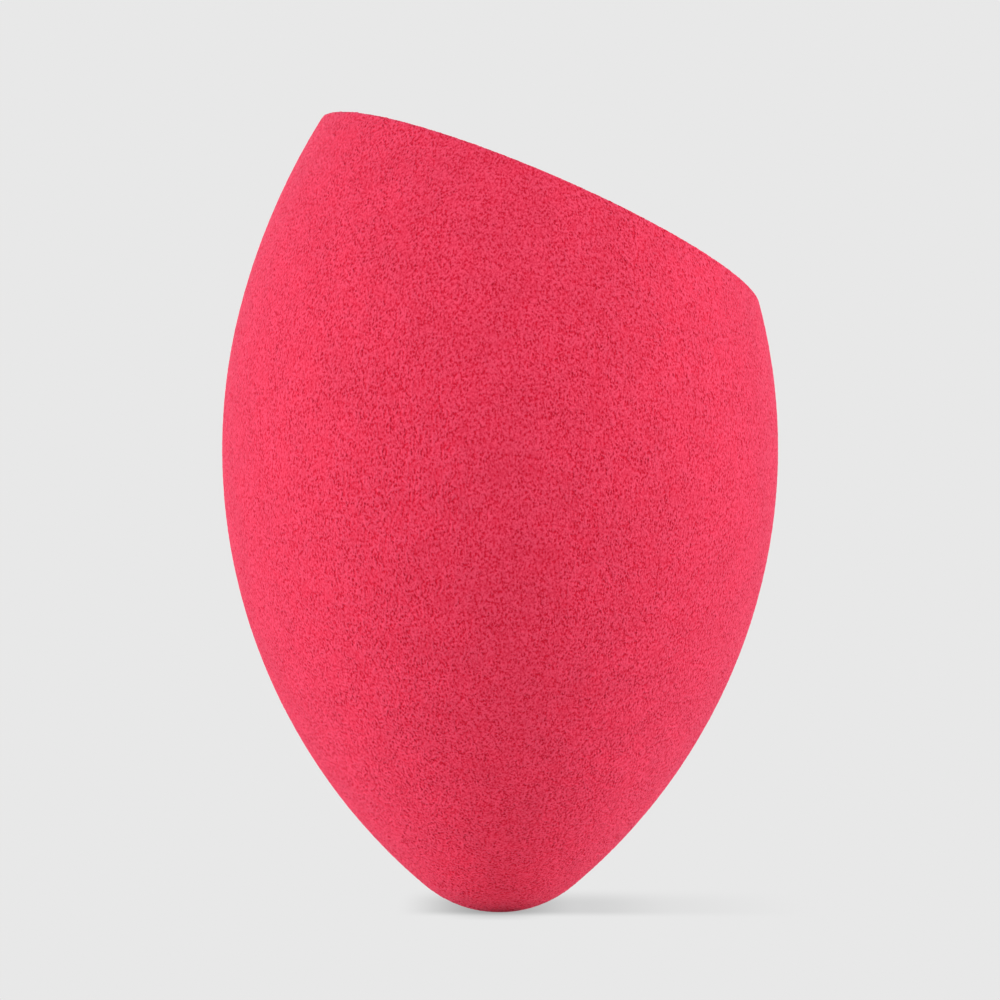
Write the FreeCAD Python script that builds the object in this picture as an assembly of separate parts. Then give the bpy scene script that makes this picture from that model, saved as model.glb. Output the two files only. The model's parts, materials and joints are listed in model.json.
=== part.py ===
import FreeCAD, Part
import math
import os

# Makeup sponge, one solid block of soft foam.  Lengths are in millimetres and
# angles in degrees.
#
# The block is turned about +Z: a small rounded tip at the bottom, a round belly,
# and a shoulder that closes in towards the top, where one slanted flat cut makes
# the face that works on broad areas.
#
# Frame: the origin is the centre of the small flat that the tip stands on, +Z runs
# up the middle of the block, and +X points to the low side of the slanted face.

# The outline of the block, as curves that run into each other without a corner
BELLY_RADIUS = 21.0  # at the widest ring
BELLY_HEIGHT = 35.0  # of the widest ring above the standing flat
FLANK_RADIUS = 43.0  # of the curve from the tip, past the belly, to the shoulder
SHOULDER_START = 15.3  # angle above the belly, about the flank curve's centre
SHOULDER_RADIUS = 52.0  # of the flatter curve above the flank

# The tip is cut flat so that the block can stand on it
TIP_CUT_DEPTH = 0.5
TIP_EDGE_RADIUS = 1.5  # between the flat and the rounded tip

# The slanted face
FACE_HEIGHT = 54.35  # where the face crosses the middle line
FACE_TILT = 24.3  # between the face and the horizontal
RIM_RADIUS = 0.4  # the rim round the face is cut, so it is nearly sharp

# The block that is taken off above the face only has to be larger than the top
CUT_BLOCK_SIZE = 4.0 * BELLY_RADIUS


def profile_point(centre, radius, angle):
    """Gives the point of a curve in the XZ plane, the angle counted up from +X."""
    turn = math.radians(angle)
    return centre + FreeCAD.Vector(radius * math.cos(turn), 0.0, radius * math.sin(turn))


def profile_arc(centre, radius, start_angle, end_angle):
    """Makes the edge of a curve in the XZ plane, between two angles."""
    middle_angle = (start_angle + end_angle) / 2.0
    start = profile_point(centre, radius, start_angle)
    middle = profile_point(centre, radius, middle_angle)
    end = profile_point(centre, radius, end_angle)
    return Part.Arc(start, middle, end).toShape()


def slope_angle(from_point, to_point):
    """Gives the direction from one point to another, counted up from +X."""
    way = to_point - from_point
    return math.degrees(math.atan2(way.z, way.x))


def sponge_outline():
    """Makes the closed half outline, from the standing flat up to the middle line.

    Each curve's centre lies on the line through the next one's centre and the point
    where the two meet, so the surface has no crease from the flat to the top.
    """
    flank_centre = FreeCAD.Vector(BELLY_RADIUS - FLANK_RADIUS, 0.0, BELLY_HEIGHT)

    # The round tip reaches below the flat by the depth of the cut, and touches the
    # flank curve from the inside.
    full_height = BELLY_HEIGHT + TIP_CUT_DEPTH
    tip_radius = (FLANK_RADIUS**2 - full_height**2 - flank_centre.x**2) / (
        2.0 * (FLANK_RADIUS - full_height)
    )
    tip_centre = FreeCAD.Vector(0.0, 0.0, tip_radius - TIP_CUT_DEPTH)

    # The edge curve touches the flat below it and the tip curve beside it.
    flat_radius = math.sqrt(
        (tip_radius - TIP_EDGE_RADIUS) ** 2 - (tip_centre.z - TIP_EDGE_RADIUS) ** 2
    )
    edge_centre = FreeCAD.Vector(flat_radius, 0.0, TIP_EDGE_RADIUS)

    shoulder_centre = profile_point(
        flank_centre, FLANK_RADIUS - SHOULDER_RADIUS, SHOULDER_START
    )
    top_angle = math.degrees(math.acos(-shoulder_centre.x / SHOULDER_RADIUS))
    top = profile_point(shoulder_centre, SHOULDER_RADIUS, top_angle)

    bottom = FreeCAD.Vector(0.0, 0.0, 0.0)
    flat_edge = FreeCAD.Vector(flat_radius, 0.0, 0.0)
    edge_to_tip = slope_angle(tip_centre, edge_centre)
    tip_to_flank = slope_angle(flank_centre, tip_centre)

    edges = [
        Part.LineSegment(bottom, flat_edge).toShape(),
        profile_arc(edge_centre, TIP_EDGE_RADIUS, -90.0, edge_to_tip),
        profile_arc(tip_centre, tip_radius, edge_to_tip, tip_to_flank),
        profile_arc(flank_centre, FLANK_RADIUS, tip_to_flank, SHOULDER_START),
        profile_arc(shoulder_centre, SHOULDER_RADIUS, SHOULDER_START, top_angle),
        Part.LineSegment(top, bottom).toShape(),
    ]
    return Part.Wire(edges)


def turned_block():
    """Turns the outline about the middle line into a closed solid."""
    face = Part.Face(sponge_outline())
    return face.revolve(FreeCAD.Vector(0.0, 0.0, 0.0), FreeCAD.Vector(0.0, 0.0, 1.0), 360.0)


def cut_block():
    """Makes the block above the slanted face, its underside in the face's plane."""
    corner = FreeCAD.Vector(-CUT_BLOCK_SIZE / 2.0, -CUT_BLOCK_SIZE / 2.0, FACE_HEIGHT)
    block = Part.makeBox(CUT_BLOCK_SIZE, CUT_BLOCK_SIZE, CUT_BLOCK_SIZE, corner)
    face_middle = FreeCAD.Vector(0.0, 0.0, FACE_HEIGHT)
    block.rotate(face_middle, FreeCAD.Vector(0.0, 1.0, 0.0), FACE_TILT)
    return block


def face_rim(solid):
    """Finds the edges round the slanted face, each with all its ends in that plane."""
    normal = profile_point(FreeCAD.Vector(0.0, 0.0, 0.0), 1.0, 90.0 - FACE_TILT)
    face_middle = FreeCAD.Vector(0.0, 0.0, FACE_HEIGHT)
    tolerance = 1e-4
    return [
        edge
        for edge in solid.Edges
        if all(abs((end.Point - face_middle).dot(normal)) < tolerance for end in edge.Vertexes)
    ]


def foam_body():
    """Makes the whole sponge."""
    block = turned_block().cut(cut_block())
    return block.makeFillet(RIM_RADIUS, face_rim(block))


def main():
    """Writes the sponge's only piece."""
    os.makedirs("parts", exist_ok=True)
    body = foam_body()
    body.exportStep("parts/foam_body.step")
    print("foam_body:", round(body.Volume), "cubic mm, valid", body.isValid())


main()
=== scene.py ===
"""Looks of the makeup sponge: one block of fine open-cell foam standing on its tip.

Everything is in metres in the sponge's own frame: the origin is where the tip stands,
+Z runs up the middle of the block, and +X points to the low side of the slanted face.
"""
import json
import logging
import math
from dataclasses import dataclass, field
from enum import Enum
from typing import Any

import bpy
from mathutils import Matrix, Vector


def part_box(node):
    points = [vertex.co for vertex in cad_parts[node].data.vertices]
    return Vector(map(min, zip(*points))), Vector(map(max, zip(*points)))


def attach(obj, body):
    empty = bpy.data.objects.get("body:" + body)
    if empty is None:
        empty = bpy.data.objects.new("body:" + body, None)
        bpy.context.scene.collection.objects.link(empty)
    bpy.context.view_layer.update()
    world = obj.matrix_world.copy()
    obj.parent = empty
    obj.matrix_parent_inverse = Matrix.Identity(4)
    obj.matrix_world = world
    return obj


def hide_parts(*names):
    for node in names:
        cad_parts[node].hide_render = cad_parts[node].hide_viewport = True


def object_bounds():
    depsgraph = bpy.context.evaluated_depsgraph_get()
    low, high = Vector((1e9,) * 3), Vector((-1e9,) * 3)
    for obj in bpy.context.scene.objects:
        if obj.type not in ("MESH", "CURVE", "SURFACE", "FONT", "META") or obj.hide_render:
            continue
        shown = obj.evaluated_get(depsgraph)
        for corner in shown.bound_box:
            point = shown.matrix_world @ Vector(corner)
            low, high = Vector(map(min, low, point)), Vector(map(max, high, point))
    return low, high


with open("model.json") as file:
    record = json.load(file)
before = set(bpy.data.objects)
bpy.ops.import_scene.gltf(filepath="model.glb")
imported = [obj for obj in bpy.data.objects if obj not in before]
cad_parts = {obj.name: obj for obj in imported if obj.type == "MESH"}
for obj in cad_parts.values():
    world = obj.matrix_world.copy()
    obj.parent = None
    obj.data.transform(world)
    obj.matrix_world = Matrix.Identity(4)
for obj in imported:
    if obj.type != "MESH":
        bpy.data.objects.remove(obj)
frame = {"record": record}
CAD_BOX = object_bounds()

LOG = logging.getLogger("makeup_sponge")
MM = 0.001
TOUCHING = 0.001 * MM  # points nearer to each other than this are one
PICTURE_GREY = 0.8069  # of the floor and the backdrop in the picture, in linear light
Colour = tuple[float, float, float]


class Channel(Enum):
    """Names of what the foam's mesh carries for its finish and as its flat map."""

    REST = "rest_place"
    UNFOLDED = "OFBake"


class Stand(Enum):
    """Where a soft box stands, turned from the camera's side of the sponge to the right."""

    LEFT = math.radians(-75.0)
    RIGHT = math.radians(75.0)
    FRONT = math.radians(0.0)
    BACK = math.radians(180.0)


def deselect_everything() -> None:
    """Leaves object mode's selection empty, with nothing active."""
    if bpy.context.object and bpy.context.object.mode != "OBJECT":
        bpy.ops.object.mode_set(mode="OBJECT")
    bpy.ops.object.select_all(action="DESELECT")
    bpy.context.view_layer.objects.active = None


def pick(piece: bpy.types.Object) -> None:
    """Makes one object the only selected one, and the active one.

    Args:
        piece: The object to work on.
    """
    deselect_everything()
    piece.select_set(True)
    bpy.context.view_layer.objects.active = piece


def edit_all_of(piece: bpy.types.Object) -> None:
    """Opens one object in edit mode with its whole mesh selected.

    Args:
        piece: The object to work on.
    """
    pick(piece)
    bpy.ops.object.mode_set(mode="EDIT")
    bpy.ops.mesh.select_all(action="SELECT")


def apply_modifier(piece: bpy.types.Object, kind: str, **settings: Any) -> None:
    """Adds a modifier to a piece and applies it at once.

    Args:
        piece: The object to change.
        kind: Blender's name of the modifier's type.
        settings: Values for the modifier's own properties.
    """
    modifier = piece.modifiers.new(kind.lower(), kind)
    for name, value in settings.items():
        setattr(modifier, name, value)
    pick(piece)
    bpy.ops.object.modifier_apply(modifier=modifier.name)


@dataclass
class NodeBench:
    """A node tree being wired up.

    Attributes:
        tree: The tree that the nodes are added to.
    """

    tree: bpy.types.NodeTree

    @classmethod
    def for_shading(cls, owner: bpy.types.Material | bpy.types.World) -> "NodeBench":
        """Empties the tree of a material or a world.

        Args:
            owner: The material or the world.

        Returns:
            Its tree, with no nodes.
        """
        owner.use_nodes = True
        owner.node_tree.nodes.clear()
        return cls(owner.node_tree)

    @classmethod
    def for_shaping(cls, name: str) -> "NodeBench":
        """Makes a tree that a mesh goes into and a mesh comes out of.

        Args:
            name: Of the tree.

        Returns:
            The tree, with no nodes.
        """
        tree = bpy.data.node_groups.new(name, "GeometryNodeTree")
        for way in ("INPUT", "OUTPUT"):
            tree.interface.new_socket("Geometry", in_out=way, socket_type="NodeSocketGeometry")
        return cls(tree)

    def add(
        self, kind: str, inputs: dict[Any, Any] | None = None, **settings: Any
    ) -> bpy.types.Node:
        """Adds a node, sets it up and feeds its inputs.

        Args:
            kind: Blender's name of the node's type.
            inputs: A value or another node's output for each named or numbered input.
            settings: Values for the node's own properties.

        Returns:
            The new node.
        """
        node = self.tree.nodes.new(kind)
        for name, value in settings.items():
            setattr(node, name, value)
        for key, value in (inputs or {}).items():
            if isinstance(value, bpy.types.NodeSocket):
                self.tree.links.new(value, node.inputs[key])
            else:
                node.inputs[key].default_value = value
        return node

    def sum_of(self, first: Any, second: Any, operation: str = "ADD") -> bpy.types.NodeSocket:
        """Combines two numbers, each a value or an output, by Blender's name of the sum."""
        return self.add("ShaderNodeMath", {0: first, 1: second}, operation=operation).outputs[0]

    def product(self, first: Any, second: Any) -> bpy.types.NodeSocket:
        """Multiplies two numbers, each a value or an output."""
        return self.sum_of(first, second, "MULTIPLY")

    def vector_sum(self, first: Any, second: Any, operation: str = "ADD") -> bpy.types.NodeSocket:
        """Combines two vectors, each a value or an output, by Blender's name of the sum."""
        node = self.add("ShaderNodeVectorMath", {0: first, 1: second}, operation=operation)
        return node.outputs[0]

    def scaled(self, vector: bpy.types.NodeSocket, factor: Any) -> bpy.types.NodeSocket:
        """Makes a vector longer or shorter by a factor, which is a value or an output."""
        node = self.add("ShaderNodeVectorMath", {0: vector, "Scale": factor}, operation="SCALE")
        return node.outputs[0]

    def noise(
        self, place: bpy.types.NodeSocket, size: float, detail: float = 2.0
    ) -> bpy.types.Node:
        """Adds soft uneven patches of one size, with smaller ones in them for more detail."""
        inputs = {"Vector": place, "Scale": 1.0 / size, "Detail": detail}
        return self.add("ShaderNodeTexNoise", inputs)

    def ramp(
        self,
        value: bpy.types.NodeSocket,
        start: float,
        end: float,
        low: Any = 0.0,
        high: Any = 1.0,
    ) -> bpy.types.NodeSocket:
        """Turns a range of one number smoothly into a range of another.

        Args:
            value: The output with the number.
            start: Where the rise begins.
            end: Where the rise ends.
            low: What the start turns into.
            high: What the end turns into.

        Returns:
            The output with the result.
        """
        node = self.add(
            "ShaderNodeMapRange",
            {"Value": value, "From Min": start, "From Max": end, "To Min": low, "To Max": high},
            interpolation_type="SMOOTHSTEP",
        )
        return node.outputs["Result"]

    def in_picture(self) -> bpy.types.NodeSocket:
        """Wires which rays see the plain background: those of the picture, mirrored or not.

        Returns:
            The output with 1 for such a ray and 0 for a ray that only carries light.
        """
        paths = self.add("ShaderNodeLightPath").outputs
        seen = self.sum_of(paths["Is Camera Ray"], paths["Is Glossy Ray"], "MAXIMUM")
        return self.sum_of(seen, paths["Is Transmission Ray"], "MAXIMUM")


@dataclass(frozen=True)
class SpongeForm:
    """The outline that is turned about the middle line, and the slanted face.

    Attributes:
        belly_radius: At the widest ring.
        face_place: Where the slanted face crosses the middle line.
        face_normal: Out of the slanted face.
        belly_height: Of the widest ring above the floor.
        flank_radius: Of the curve from the tip, past the belly, to the shoulder.
        shoulder_start: Angle above the belly, about the flank curve's centre.
        shoulder_radius: Of the flatter curve above the flank.
        step: Length of one stretch of the outline.
        turns: Stretches round the belly.
    """

    belly_radius: float
    face_place: Vector
    face_normal: Vector
    belly_height: float = 35.0 * MM
    flank_radius: float = 43.0 * MM
    shoulder_start: float = math.radians(15.3)
    shoulder_radius: float = 52.0 * MM
    step: float = 0.5 * MM
    turns: int = 288

    @classmethod
    def from_frame(cls) -> "SpongeForm":
        """Reads the belly's width and the slanted face from the frame.

        Returns:
            The form.
        """
        low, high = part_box("foam_body")
        mounts = {mount["name"]: mount for mount in frame["record"]["mounts"]}
        face = mounts["slanted_face"]
        return cls((high.y - low.y) / 2.0, Vector(face["pos_m"]), Vector(face["axis"]))

    def arc(
        self, centre: tuple[float, float], radius: float, start: float, end: float
    ) -> list[tuple[float, float]]:
        """Gives points along a curve of the outline.

        Args:
            centre: Of the curve, as distance from the middle line and height.
            radius: Of the curve.
            start: Angle of the first point, up from the horizontal.
            end: Angle of the last point, which is left out.

        Returns:
            The points, as distance from the middle line and height.
        """
        count = max(2, round(radius * (end - start) / self.step))
        turns = [start + (end - start) * index / count for index in range(count)]
        return [
            (centre[0] + radius * math.cos(turn), centre[1] + radius * math.sin(turn))
            for turn in turns
        ]

    def outline(self) -> list[tuple[float, float]]:
        """Gives the half outline from the bottom of the tip to the point above the face.

        The centre of each curve lies on the line through the next one's centre and the
        point where the two meet, so no crease shows where they join.

        Returns:
            The points, as distance from the middle line and height.
        """
        flank = (self.belly_radius - self.flank_radius, self.belly_height)
        tip_radius = (self.flank_radius**2 - self.belly_height**2 - flank[0] ** 2) / (
            2.0 * (self.flank_radius - self.belly_height)
        )
        tip = (0.0, tip_radius)
        meets_tip = math.atan2(tip[1] - flank[1], tip[0] - flank[0])
        inward = self.flank_radius - self.shoulder_radius
        shoulder = (
            flank[0] + inward * math.cos(self.shoulder_start),
            flank[1] + inward * math.sin(self.shoulder_start),
        )
        top = math.acos(-shoulder[0] / self.shoulder_radius)
        return [
            *self.arc(tip, tip_radius, -math.pi / 2.0, meets_tip),
            *self.arc(flank, self.flank_radius, meets_tip, self.shoulder_start),
            *self.arc(shoulder, self.shoulder_radius, self.shoulder_start, top),
            (0.0, shoulder[1] + self.shoulder_radius * math.sin(top)),
        ]


@dataclass(frozen=True)
class PorePattern:
    """Where the foam's open cells lie, as a height: 1 on a cell wall and 0 deep in a pore.

    The mesh and the finish both draw it, so that the painted shade of the pores lies in the
    hollows.

    Attributes:
        spacing: Between the middles of neighbouring cells.
        inner: Share of the spacing at which a pore's floor ends.
        outer: Share of the spacing at which a pore's wall ends.
        shallowest: Depth of the least pore, as a share of the deepest.
        warp: How far the pores are pushed out of round.
        warp_size: Size of the pushes.
        grain: Share of the height that is fine roughness.
        grain_size: Of the fine roughness.
        grain_range: Strengths of the noise between which the fine roughness rises.
        rise: Height of a cell as a share of its width, which draws the pores and their painted
            shade taller.
        level: Mean height, which stays on the form.
        calm: Share of the pores' depth that is missing where the foam is closest.
        calm_size: Of the patches of closer foam.
        calm_range: Strengths of the noise between which the foam opens up.
        tip_depth_and_shade: Depth of the pores at the tip, as a share of their depth on the
            belly, which also darkens the tip with painted shade.
        tip_reach: Height up to which the pores are deeper, and the painted shade darker, than on
            the belly.
    """

    spacing: float = 0.20 * MM
    inner: float = 0.10
    outer: float = 0.56
    shallowest: float = 0.3
    warp: float = 0.13 * MM
    warp_size: float = 0.155 * MM
    grain: float = 0.46
    grain_size: float = 0.14 * MM
    grain_range: tuple[float, float] = (0.2, 0.8)
    rise: float = 1.4
    level: float = 0.655
    calm: float = 0.45
    calm_size: float = 1.2 * MM
    calm_range: tuple[float, float] = (0.3, 0.6)
    # deeper pores at the tip also paint shade onto the lower part
    tip_depth_and_shade: float = 1.2
    tip_reach: float = 30.0 * MM

    def cell_walls(
        self, bench: NodeBench, stretched: bpy.types.NodeSocket
    ) -> bpy.types.NodeSocket:
        """Adds the nodes that draw the cells, each pushed out of round and of its own depth.

        Args:
            bench: The tree, of a material or of a modifier.
            stretched: The output with the place, shortened upwards by rise.

        Returns:
            The output with 1 on a cell wall and 0 on the floor of the deepest pore.
        """
        push = bench.noise(stretched, self.warp_size).outputs["Color"]
        pushed = bench.scaled(bench.vector_sum(push, (0.5, 0.5, 0.5), "SUBTRACT"), self.warp)
        warped = bench.vector_sum(stretched, pushed)
        cells = bench.add(
            "ShaderNodeTexVoronoi", {"Vector": warped, "Scale": 1.0 / self.spacing}
        )
        draw = bench.add(
            "ShaderNodeVectorMath",
            {0: cells.outputs["Color"], 1: (1.0, 0.0, 0.0)},
            operation="DOT_PRODUCT",
        ).outputs["Value"]
        depth = bench.ramp(draw, 0.0, 1.0, self.shallowest, 1.0)
        bowl = bench.ramp(cells.outputs["Distance"], self.inner, self.outer, 1.0, 0.0)
        return bench.sum_of(1.0, bench.product(bowl, depth), "SUBTRACT")

    def openness(self, bench: NodeBench, place: bpy.types.NodeSocket) -> bpy.types.NodeSocket:
        """Adds the nodes that make the foam closer in patches, and the pores deeper towards the
        tip, which the finish paints darker as painted shade.

        Args:
            bench: The tree, of a material or of a modifier.
            place: The output with the place on the unworn surface.

        Returns:
            The output with the pores' depth as a share of the usual.
        """
        patches = bench.noise(place, self.calm_size).outputs[0]
        calm = bench.ramp(patches, *self.calm_range, 1.0 - self.calm, 1.0)
        up = bench.add("ShaderNodeSeparateXYZ", {0: place}).outputs[2]
        # deeper pores towards the tip: deeper relief in the mesh, and painted shade in the pore
        # colour
        return bench.product(calm, bench.ramp(up, 0.0, self.tip_reach, self.tip_depth_and_shade, 1.0))

    def wire(self, bench: NodeBench, place: bpy.types.NodeSocket) -> bpy.types.NodeSocket:
        """Adds the whole pattern's nodes to a tree.

        Args:
            bench: The tree, of a material or of a modifier.
            place: The output with the place on the unworn surface.

        Returns:
            The output with the height.
        """
        stretched = bench.vector_sum(place, (1.0, 1.0, 1.0 / self.rise), "MULTIPLY")
        wall = bench.product(self.cell_walls(bench, stretched), 1.0 - self.grain)
        fine = bench.noise(stretched, self.grain_size).outputs[0]
        rough = bench.product(bench.ramp(fine, *self.grain_range), self.grain)
        above = bench.sum_of(bench.sum_of(wall, rough), self.level, "SUBTRACT")
        return bench.sum_of(bench.product(above, self.openness(bench, place)), self.level)


@dataclass(frozen=True)
class PoreRelief:
    """The open cells cut into the foam's mesh.

    Attributes:
        pattern: Where the cells lie.
        depth: From the cell walls down to the floor of the deepest pore.
    """

    pattern: PorePattern
    depth: float = 0.09 * MM

    def carve(self, piece: bpy.types.Object) -> None:
        """Cuts the pores into a piece, and keeps the unworn surface's place for its finish.

        Args:
            piece: The object, with a fine mesh.
        """
        bench = NodeBench.for_shaping("pore_relief")
        surface = bench.add("NodeGroupInput").outputs[0]
        place = bench.add("GeometryNodeInputPosition").outputs[0]
        kept = bench.add(
            "GeometryNodeStoreNamedAttribute",
            {"Geometry": surface, "Name": Channel.REST.value, "Value": place},
            data_type="FLOAT_VECTOR",
            domain="POINT",
        )
        above = bench.sum_of(self.pattern.wire(bench, place), self.pattern.level, "SUBTRACT")
        normal = bench.add("GeometryNodeInputNormal").outputs[0]
        shift = bench.scaled(normal, bench.product(above, self.depth))
        carved = bench.add(
            "GeometryNodeSetPosition", {"Geometry": kept.outputs[0], "Offset": shift}
        )
        bench.add("NodeGroupOutput", {0: carved.outputs[0]})
        apply_modifier(piece, "NODES", node_group=bench.tree)


@dataclass(frozen=True)
class FoamFinish:
    """Dry coloured polyurethane foam, matte, with painted highlight on the cell walls and painted
    shade in the pores.

    Attributes:
        pattern: Where the cells lie.
        name: Of the material.
        wall: Colour of the cell walls at the surface, lifted as a painted highlight.
        pore: Colour deep in a pore, darkened as painted shade.
        low: Height of the pattern at which the painted pore shade is full.
        high: Height of the pattern at which the wall colour with its painted highlight is full.
        dent: Depth of the finest relief, which only shades the surface.
        mottle_size: Of the faint patches of paler and darker foam.
        mottle_detail: How many times the faint patches hold smaller ones.
        mottle_range: Strengths of the noise between which the foam turns paler.
        mottle_tone: Brightness of the darkest and the palest patch.
        roughness: Of the cell walls.
        gloss: Specular level of the cell walls.
        sheen: Weight of the soft bloom at grazing angles.
        sheen_tint: Colour of the bloom.
    """

    pattern: PorePattern
    name: str = "coral_foam"
    # painted highlight on the cell walls, painted shade deep in the pores
    wall: Colour = (0.94, 0.063, 0.140)
    pore: Colour = (0.76, 0.002, 0.031)
    low: float = 0.53
    high: float = 0.84
    dent: float = 0.10 * MM
    mottle_size: float = 3.0 * MM
    mottle_detail: float = 3.0
    mottle_range: tuple[float, float] = (0.3, 0.7)
    mottle_tone: tuple[float, float] = (0.97, 1.03)
    roughness: float = 0.7
    gloss: float = 0.15
    sheen: float = 0.35
    sheen_tint: Colour = (1.0, 0.31, 0.56)

    def colour(
        self, bench: NodeBench, place: bpy.types.NodeSocket, height: bpy.types.NodeSocket
    ) -> bpy.types.NodeSocket:
        """Adds the nodes that paint shade into the pores and highlight onto the cell walls, and
        colour the faint patches.

        Args:
            bench: The material's tree.
            place: The output with the place on the unworn surface.
            height: The output with the pattern's height.

        Returns:
            The output with the colour.
        """
        # painted shade and highlight: from the pore colour in the hollows to the wall colour on
        # the ridges
        share = bench.add(
            "ShaderNodeMapRange", {"Value": height, "From Min": self.low, "From Max": self.high}
        )
        blend = bench.add(
            "ShaderNodeMix",
            {"Factor": share.outputs["Result"], "A": (*self.pore, 1.0), "B": (*self.wall, 1.0)},
            data_type="RGBA",
        )
        mottle = bench.noise(place, self.mottle_size, self.mottle_detail).outputs[0]
        brightness = bench.ramp(mottle, *self.mottle_range, *self.mottle_tone)
        tone = bench.add(
            "ShaderNodeHueSaturation", {"Color": blend.outputs["Result"], "Value": brightness}
        )
        return tone.outputs[0]

    def material(self) -> bpy.types.Material:
        """Makes the material.

        Returns:
            The material.
        """
        made = bpy.data.materials.new(self.name)
        bench = NodeBench.for_shading(made)
        place = bench.add("ShaderNodeAttribute", attribute_name=Channel.REST.value)
        height = self.pattern.wire(bench, place.outputs["Vector"])
        bump = bench.add(
            "ShaderNodeBump", {"Strength": 1.0, "Distance": self.dent, "Height": height}
        )
        shader = bench.add(
            "ShaderNodeBsdfPrincipled",
            {
                "Base Color": self.colour(bench, place.outputs["Vector"], height),
                "Roughness": self.roughness,
                "Specular IOR Level": self.gloss,
                "Sheen Weight": self.sheen,
                "Sheen Tint": (*self.sheen_tint, 1.0),
                "Normal": bump.outputs[0],
            },
        )
        bench.add("ShaderNodeOutputMaterial", {"Surface": shader.outputs[0]})
        return made


@dataclass
class FoamBody:
    """The whole sponge, one piece of foam.

    Attributes:
        form: Its outline and slanted face.
        pattern: Where its open cells lie.
        name: Of the piece.
        cell: Edge of the mesh's squares before they are divided.
        divisions: How many times the squares are divided.
        evening: Rounds of smoothing that spread the mesh evenly.
        rim_rounding: Rounds of smoothing that take the edge off the rim.
        smoothing: How far one round of smoothing moves a point towards its neighbours.
        seam_angle: Bend of the surface at which its flat map is cut.
        island_gap: Between two parts of the flat map, as a share of its width.
    """

    form: SpongeForm
    pattern: PorePattern = field(default_factory=PorePattern)
    name: str = "makeup_sponge"
    cell: float = 0.42 * MM
    divisions: int = 2
    evening: int = 8
    rim_rounding: int = 2
    smoothing: float = 0.5
    seam_angle: float = math.radians(66.0)
    island_gap: float = 0.004

    def turn_outline(self) -> bpy.types.Object:
        """Draws the half outline point by point and spins it round the middle line.

        Returns:
            The closed shell, with the point above the face still on.
        """
        points = self.form.outline()
        deselect_everything()
        bpy.ops.mesh.primitive_plane_add(size=MM, location=(points[0][0], 0.0, points[0][1]))
        piece = bpy.context.object
        piece.name = piece.data.name = self.name
        bpy.ops.object.transform_apply(location=True, rotation=True, scale=True)
        edit_all_of(piece)
        bpy.ops.mesh.merge(type="CENTER")
        for before, after in zip(points, points[1:]):
            move = (after[0] - before[0], 0.0, after[1] - before[1])
            bpy.ops.mesh.extrude_region_move(TRANSFORM_OT_translate={"value": move})
        bpy.ops.mesh.select_all(action="SELECT")
        bpy.ops.mesh.spin(
            steps=self.form.turns,
            angle=2.0 * math.pi,
            center=(0.0, 0.0, 0.0),
            axis=(0.0, 0.0, 1.0),
        )
        bpy.ops.mesh.select_all(action="SELECT")
        bpy.ops.mesh.remove_doubles(threshold=TOUCHING)
        bpy.ops.mesh.normals_make_consistent(inside=False)
        bpy.ops.object.mode_set(mode="OBJECT")
        return piece

    def cut_face(self, piece: bpy.types.Object) -> None:
        """Takes the top off along the slanted face and closes it.

        Args:
            piece: The turned shell.
        """
        edit_all_of(piece)
        bpy.ops.mesh.bisect(
            plane_co=self.form.face_place,
            plane_no=self.form.face_normal,
            use_fill=True,
            clear_outer=True,
            threshold=TOUCHING,
        )
        bpy.ops.object.mode_set(mode="OBJECT")

    def copy_of(self, piece: bpy.types.Object, name: str) -> bpy.types.Object:
        """Copies a piece, mesh and all.

        Args:
            piece: The object to copy.
            name: Of the copy.

        Returns:
            The copy.
        """
        pick(piece)
        bpy.ops.object.duplicate(linked=False)
        copy = bpy.context.object
        copy.name = copy.data.name = name
        return copy

    def unfold(self, piece: bpy.types.Object) -> None:
        """Lays the surface out flat, as a map of its own.

        Args:
            piece: The object, with a coarse mesh.
        """
        piece.data.uv_layers.active = piece.data.uv_layers.new(name=Channel.UNFOLDED.value)
        edit_all_of(piece)
        bpy.ops.uv.smart_project(
            angle_limit=self.seam_angle, island_margin=self.island_gap, scale_to_bounds=True
        )
        bpy.ops.object.mode_set(mode="OBJECT")

    def divide(self, piece: bpy.types.Object) -> None:
        """Divides every square of the mesh into four, as many times as divisions says.

        Args:
            piece: The object, with a coarse mesh.
        """
        bench = NodeBench.for_shaping("divide")
        coarse = bench.add("NodeGroupInput").outputs[0]
        fine = bench.add(
            "GeometryNodeSubdivideMesh", {"Mesh": coarse, "Level": self.divisions}
        )
        bench.add("NodeGroupOutput", {0: fine.outputs[0]})
        apply_modifier(piece, "NODES", node_group=bench.tree)

    def even_out(self, piece: bpy.types.Object) -> None:
        """Remakes the mesh in small even squares that lie on the same form.

        Args:
            piece: The cut shell.
        """
        mould = self.copy_of(piece, "mould")
        apply_modifier(piece, "REMESH", mode="VOXEL", voxel_size=self.cell, adaptivity=0.0)
        self.unfold(piece)
        self.divide(piece)
        for method in ("NEAREST_SURFACEPOINT", "PROJECT"):
            apply_modifier(piece, "SMOOTH", factor=self.smoothing, iterations=self.evening)
            apply_modifier(
                piece,
                "SHRINKWRAP",
                target=mould,
                wrap_method=method,
                use_negative_direction=True,
                use_positive_direction=True,
            )
        apply_modifier(piece, "SMOOTH", factor=self.smoothing, iterations=self.rim_rounding)
        deselect_everything()
        bpy.data.meshes.remove(mould.data)

    def block(self) -> bpy.types.Object:
        """Models the sponge's form in a fine mesh, with no pores yet.

        Returns:
            The piece.
        """
        piece = self.turn_outline()
        self.cut_face(piece)
        self.even_out(piece)
        return piece

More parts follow.
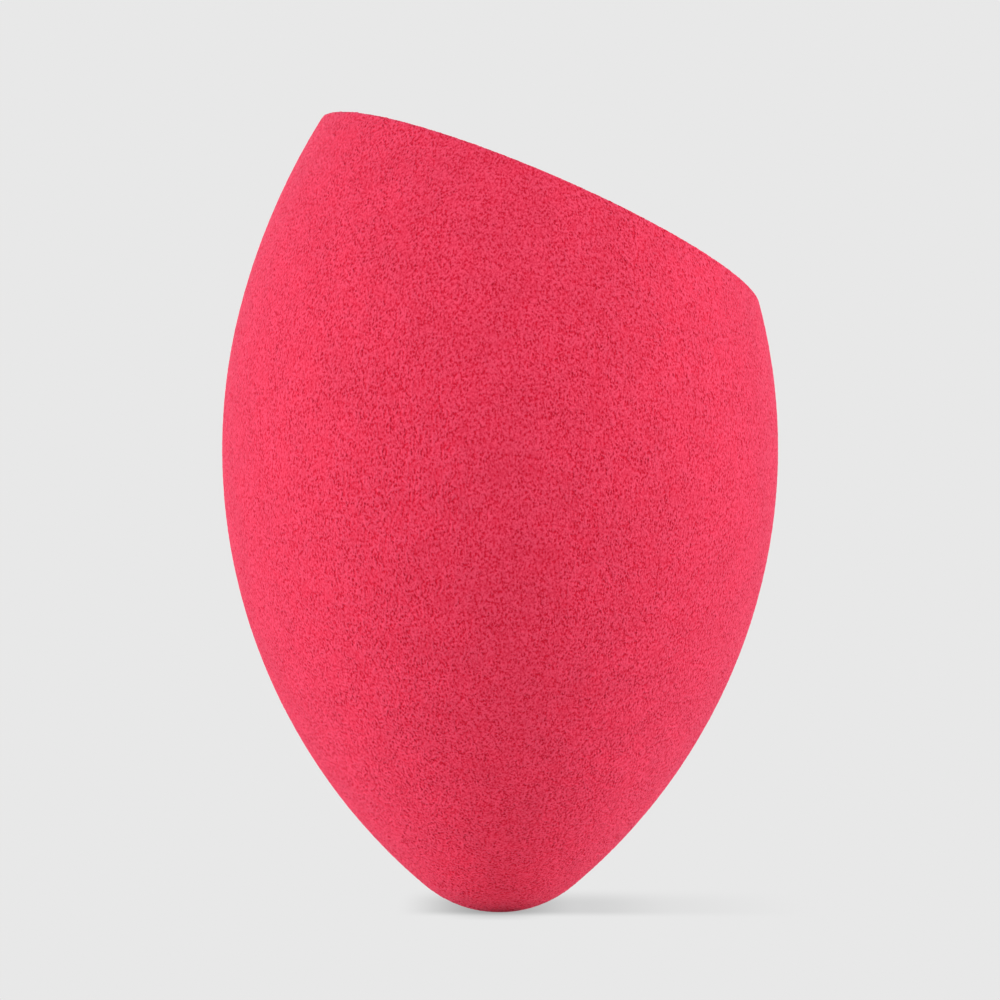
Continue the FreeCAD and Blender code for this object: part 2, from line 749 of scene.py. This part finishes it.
    def dress(self, piece: bpy.types.Object, relief: PoreRelief, finish: FoamFinish) -> None:
        """Gives a piece its pores and its material.

        Args:
            piece: The object.
            relief: The pores in its mesh.
            finish: Its material.
        """
        relief.carve(piece)
        pick(piece)
        bpy.ops.object.shade_smooth()
        piece.data.materials.clear()
        piece.data.materials.append(finish.material())

    def build(self) -> bpy.types.Object:
        """Models and dresses the sponge.

        Returns:
            The finished piece.
        """
        piece = self.block()
        self.dress(piece, PoreRelief(self.pattern), FoamFinish(self.pattern))
        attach(piece, "root")
        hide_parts("foam_body")
        return piece


@dataclass(frozen=True)
class View:
    """Where the picture is taken from.

    Attributes:
        bearing: Where the camera stands, turned from -Y towards +X.
        distance: From the middle line.
        height: Above the floor.
        roll: Turn of the camera about its own view.
        width: Of the picture at the middle line.
        far: How far the camera sees.
    """

    bearing: float = math.radians(-21.6)
    distance: float = 0.9
    height: float = 31.15 * MM
    roll: float = math.radians(-0.146)
    width: float = 75.61 * MM
    far: float = 100.0

    def build(self) -> bpy.types.Object:
        """Adds the camera, level and low, and makes it the scene's.

        Returns:
            The camera.
        """
        away = Vector((math.sin(self.bearing), -math.cos(self.bearing), 0.0))
        deselect_everything()
        bpy.ops.object.camera_add(location=away * self.distance + Vector((0.0, 0.0, self.height)))
        camera = bpy.context.object
        camera.name = "camera"
        camera.rotation_euler = (math.pi / 2.0, self.roll, self.bearing)
        camera.data.lens = camera.data.sensor_width * self.distance / self.width
        camera.data.clip_end = self.far
        bpy.context.scene.camera = camera
        return camera


@dataclass(frozen=True)
class SoftBox:
    """A large soft lamp.

    Attributes:
        stand: Where it stands.
        height: Angle above the sponge's middle.
        distance: From the sponge's middle.
        width: Of the lamp.
        tall: Height of the lamp.
        power: In watts.
    """

    stand: Stand
    height: float
    distance: float
    width: float
    tall: float
    power: float

    def build(self, middle: Vector, camera_bearing: float) -> bpy.types.Object:
        """Adds the lamp, facing the sponge and unseen by the camera.

        Args:
            middle: The sponge's middle.
            camera_bearing: Where the camera stands, turned from -Y towards +X.

        Returns:
            The lamp.
        """
        bearing = camera_bearing + self.stand.value
        way = Vector(
            (
                math.sin(bearing) * math.cos(self.height),
                -math.cos(bearing) * math.cos(self.height),
                math.sin(self.height),
            )
        )
        deselect_everything()
        bpy.ops.object.light_add(type="AREA", location=middle + self.distance * way)
        lamp = bpy.context.object
        lamp.name = f"soft_box_{self.stand.name.lower()}"
        lamp.rotation_euler = way.to_track_quat("Z", "Y").to_euler()
        lamp.data.shape = "RECTANGLE"
        lamp.data.size, lamp.data.size_y = self.width, self.tall
        lamp.data.energy = self.power
        lamp.visible_camera = False
        return lamp


@dataclass(frozen=True)
class PaintedShadowPatch:
    """A painted shadow: a patch of the floor that darkens softly towards its middle.

    Attributes:
        middle: How far to the right of the tip it is darkest.
        half_width: From there to its sides.
        strength: Share of the floor's grey that is painted away in the middle.
        rise: How far behind the tip it begins, and how far it is full.
        fall: How far behind the tip it begins to fade, and how far it has gone.
    """

    middle: float
    half_width: float
    strength: float
    rise: tuple[float, float] = (-12.0 * MM, 3.5 * MM)
    fall: tuple[float, float] = (19.0 * MM, 58.0 * MM)

    def wire(
        self, bench: NodeBench, across: bpy.types.NodeSocket, behind: bpy.types.NodeSocket
    ) -> bpy.types.NodeSocket:
        """Adds the painted shadow patch's nodes to the floor's material.

        Args:
            bench: The floor's material.
            across: The output with the distance to the right of the tip.
            behind: The output with the distance behind the tip.

        Returns:
            The output with the share of the grey that is painted away.
        """
        off = bench.sum_of(bench.sum_of(across, self.middle, "SUBTRACT"), 0.0, "ABSOLUTE")
        sideways = bench.ramp(off, 0.0, self.half_width, self.strength, 0.0)
        begun = bench.ramp(behind, *self.rise)
        left = bench.ramp(behind, *self.fall, 1.0, 0.0)
        return bench.product(sideways, bench.product(begun, left))


@dataclass(frozen=True)
class PaintedFloorShadow:
    """A shadow painted on the floor round the tip, shown only where the sponge keeps some light
    off.

    Attributes:
        reach: How far off the sponge still shades the floor.
        closed: Openness of the floor to the light at which the painted shadow is full.
        opened: Openness of the floor to the light at which the painted shadow ends.
        samples: Rays that measure the openness at one place.
        patches: Of the painted shadow: under the tip, beside it, far to the right, and in front
            of the tip.
    """

    reach: float = 120.0 * MM
    closed: float = 0.92
    opened: float = 1.0
    samples: int = 16
    patches: tuple[PaintedShadowPatch, ...] = (
        # painted shadow: each patch takes a share of the floor's grey away
        PaintedShadowPatch(-0.9 * MM, 7.2 * MM, 0.50),
        PaintedShadowPatch(5.5 * MM, 8.5 * MM, 0.13),
        PaintedShadowPatch(10.0 * MM, 15.0 * MM, 0.075),
        PaintedShadowPatch(-0.3 * MM, 4.5 * MM, 0.14, (-20.0 * MM, -10.0 * MM), (-5.0 * MM, 4.0 * MM)),
    )

    def wire(self, bench: NodeBench, bearing: float) -> bpy.types.NodeSocket:
        """Adds the painted shadow's nodes to the floor's material.

        Args:
            bench: The floor's material.
            bearing: Of the side that the patches are laid out from, turned from -Y.

        Returns:
            The output with the share of the grey that is painted away.
        """
        place = bench.add("ShaderNodeTexCoord").outputs["Object"]
        laid_out = bench.add(
            "ShaderNodeVectorRotate",
            {"Vector": place, "Angle": -bearing},
            rotation_type="Z_AXIS",
        )
        across, behind, _ = bench.add("ShaderNodeSeparateXYZ", {0: laid_out.outputs[0]}).outputs
        # painted shadow, summed over the patches and gated by the real openness below
        painted_shadow_sum: Any = 0.0
        for patch in self.patches:
            painted_shadow_sum = bench.sum_of(painted_shadow_sum, patch.wire(bench, across, behind))
        openness = bench.add(
            "ShaderNodeAmbientOcclusion", {"Distance": self.reach}, samples=self.samples
        )
        kept_off = bench.ramp(openness.outputs["AO"], self.closed, self.opened, 1.0, 0.0)
        return bench.product(painted_shadow_sum, kept_off)


@dataclass(frozen=True)
class FloorFinish:
    """Pale matt sheet, which shows the picture's grey, darkened round the tip by a painted
    shadow.

    Attributes:
        name: Of the material.
        grey: Of the sheet.
        glow: Strength of the light that the lit floor gives off by itself.
        shade: The shadow painted on the floor round the tip.
    """

    name: str = "pale_floor"
    grey: Colour = (PICTURE_GREY, PICTURE_GREY, PICTURE_GREY)
    glow: float = 0.08
    shade: PaintedFloorShadow = field(default_factory=PaintedFloorShadow)

    def material(self, bearing: float) -> bpy.types.Material:
        """Makes the material.

        Args:
            bearing: Of the side that the painted shadow is laid out from, turned from -Y.

        Returns:
            The material.
        """
        made = bpy.data.materials.new(self.name)
        bench = NodeBench.for_shading(made)
        grey = (*self.grey, 1.0)
        sheet = bench.add("ShaderNodeBsdfDiffuse", {"Color": grey})
        glow = bench.add("ShaderNodeEmission", {"Strength": self.glow})
        lit = bench.add("ShaderNodeAddShader", {0: sheet.outputs[0], 1: glow.outputs[0]})
        # camera rays see the even grey with the painted shadow taken out of it
        left = bench.sum_of(1.0, self.shade.wire(bench, bearing), "SUBTRACT")
        even = bench.add("ShaderNodeEmission", {"Color": grey, "Strength": left})
        mixed = bench.add(
            "ShaderNodeMixShader", {0: bench.in_picture(), 1: lit.outputs[0], 2: even.outputs[0]}
        )
        bench.add("ShaderNodeOutputMaterial", {"Surface": mixed.outputs[0]})
        return made


@dataclass(frozen=True)
class Backdrop:
    """The world: an even grey in the picture, and the light from all round on the sponge.

    Attributes:
        name: Of the world.
        pale: Grey in the picture.
        fill: Strength of the light from all round.
    """

    name: str = "backdrop"
    pale: float = PICTURE_GREY
    fill: float = 0.0

    def build(self) -> bpy.types.World:
        """Makes the world and gives it to the scene.

        Returns:
            The world.
        """
        world = bpy.data.worlds.new(self.name)
        bpy.context.scene.world = world
        bench = NodeBench.for_shading(world)
        strength = bench.add(
            "ShaderNodeMapRange",
            {"Value": bench.in_picture(), "To Min": self.fill, "To Max": self.pale},
        ).outputs["Result"]
        light = bench.add(
            "ShaderNodeBackground", {"Color": (1.0, 1.0, 1.0, 1.0), "Strength": strength}
        )
        bench.add("ShaderNodeOutputWorld", {"Surface": light.outputs[0]})
        return world


@dataclass(frozen=True)
class Studio:
    """Camera, pale floor, even backdrop and soft light.

    Attributes:
        view: Where the picture is taken from.
        floor_finish: Of the floor.
        floor_size: Side of the floor.
        backdrop: What lies beyond the floor.
        lamps: The soft boxes.
    """

    view: View = field(default_factory=View)
    floor_finish: FloorFinish = field(default_factory=FloorFinish)
    floor_size: float = 8.0
    backdrop: Backdrop = field(default_factory=Backdrop)
    lamps: tuple[SoftBox, ...] = (
        SoftBox(Stand.LEFT, math.radians(8.0), distance=0.7, width=0.5, tall=0.5, power=5.3),
        SoftBox(Stand.RIGHT, math.radians(13.0), distance=0.7, width=0.5, tall=0.8, power=5.6),
        SoftBox(Stand.FRONT, math.radians(60.0), distance=0.8, width=0.8, tall=0.8, power=2.5),
        SoftBox(Stand.BACK, math.radians(20.0), distance=0.8, width=0.8, tall=0.8, power=3.0),
    )

    def add_floor(self) -> bpy.types.Object:
        """Adds the floor and its finish.

        Returns:
            The floor.
        """
        deselect_everything()
        bpy.ops.mesh.primitive_plane_add(size=self.floor_size)
        floor = bpy.context.object
        floor.name = floor.data.name = "floor"
        floor.data.materials.append(self.floor_finish.material(self.view.bearing))
        return floor

    def build(self, middle: Vector) -> None:
        """Sets up the whole studio.

        Args:
            middle: The sponge's middle.
        """
        self.view.build()
        self.add_floor()
        self.backdrop.build()
        for box in self.lamps:
            box.build(middle, self.view.bearing)
        bpy.context.scene.view_settings.view_transform = "Standard"


def main() -> None:
    """Builds the sponge and its studio, and logs the sponge's face count and the studio's soft
    boxes.
    """
    logging.basicConfig(level=logging.INFO, format="%(message)s")
    low, high = CAD_BOX
    piece = FoamBody(SpongeForm.from_frame()).build()
    LOG.info("%s: %d faces", piece.name, len(piece.data.polygons))
    studio = Studio()
    studio.build((low + high) / 2.0)
    LOG.info("studio: camera, floor, backdrop and %d soft boxes", len(studio.lamps))


if __name__ == "__main__":
    main()
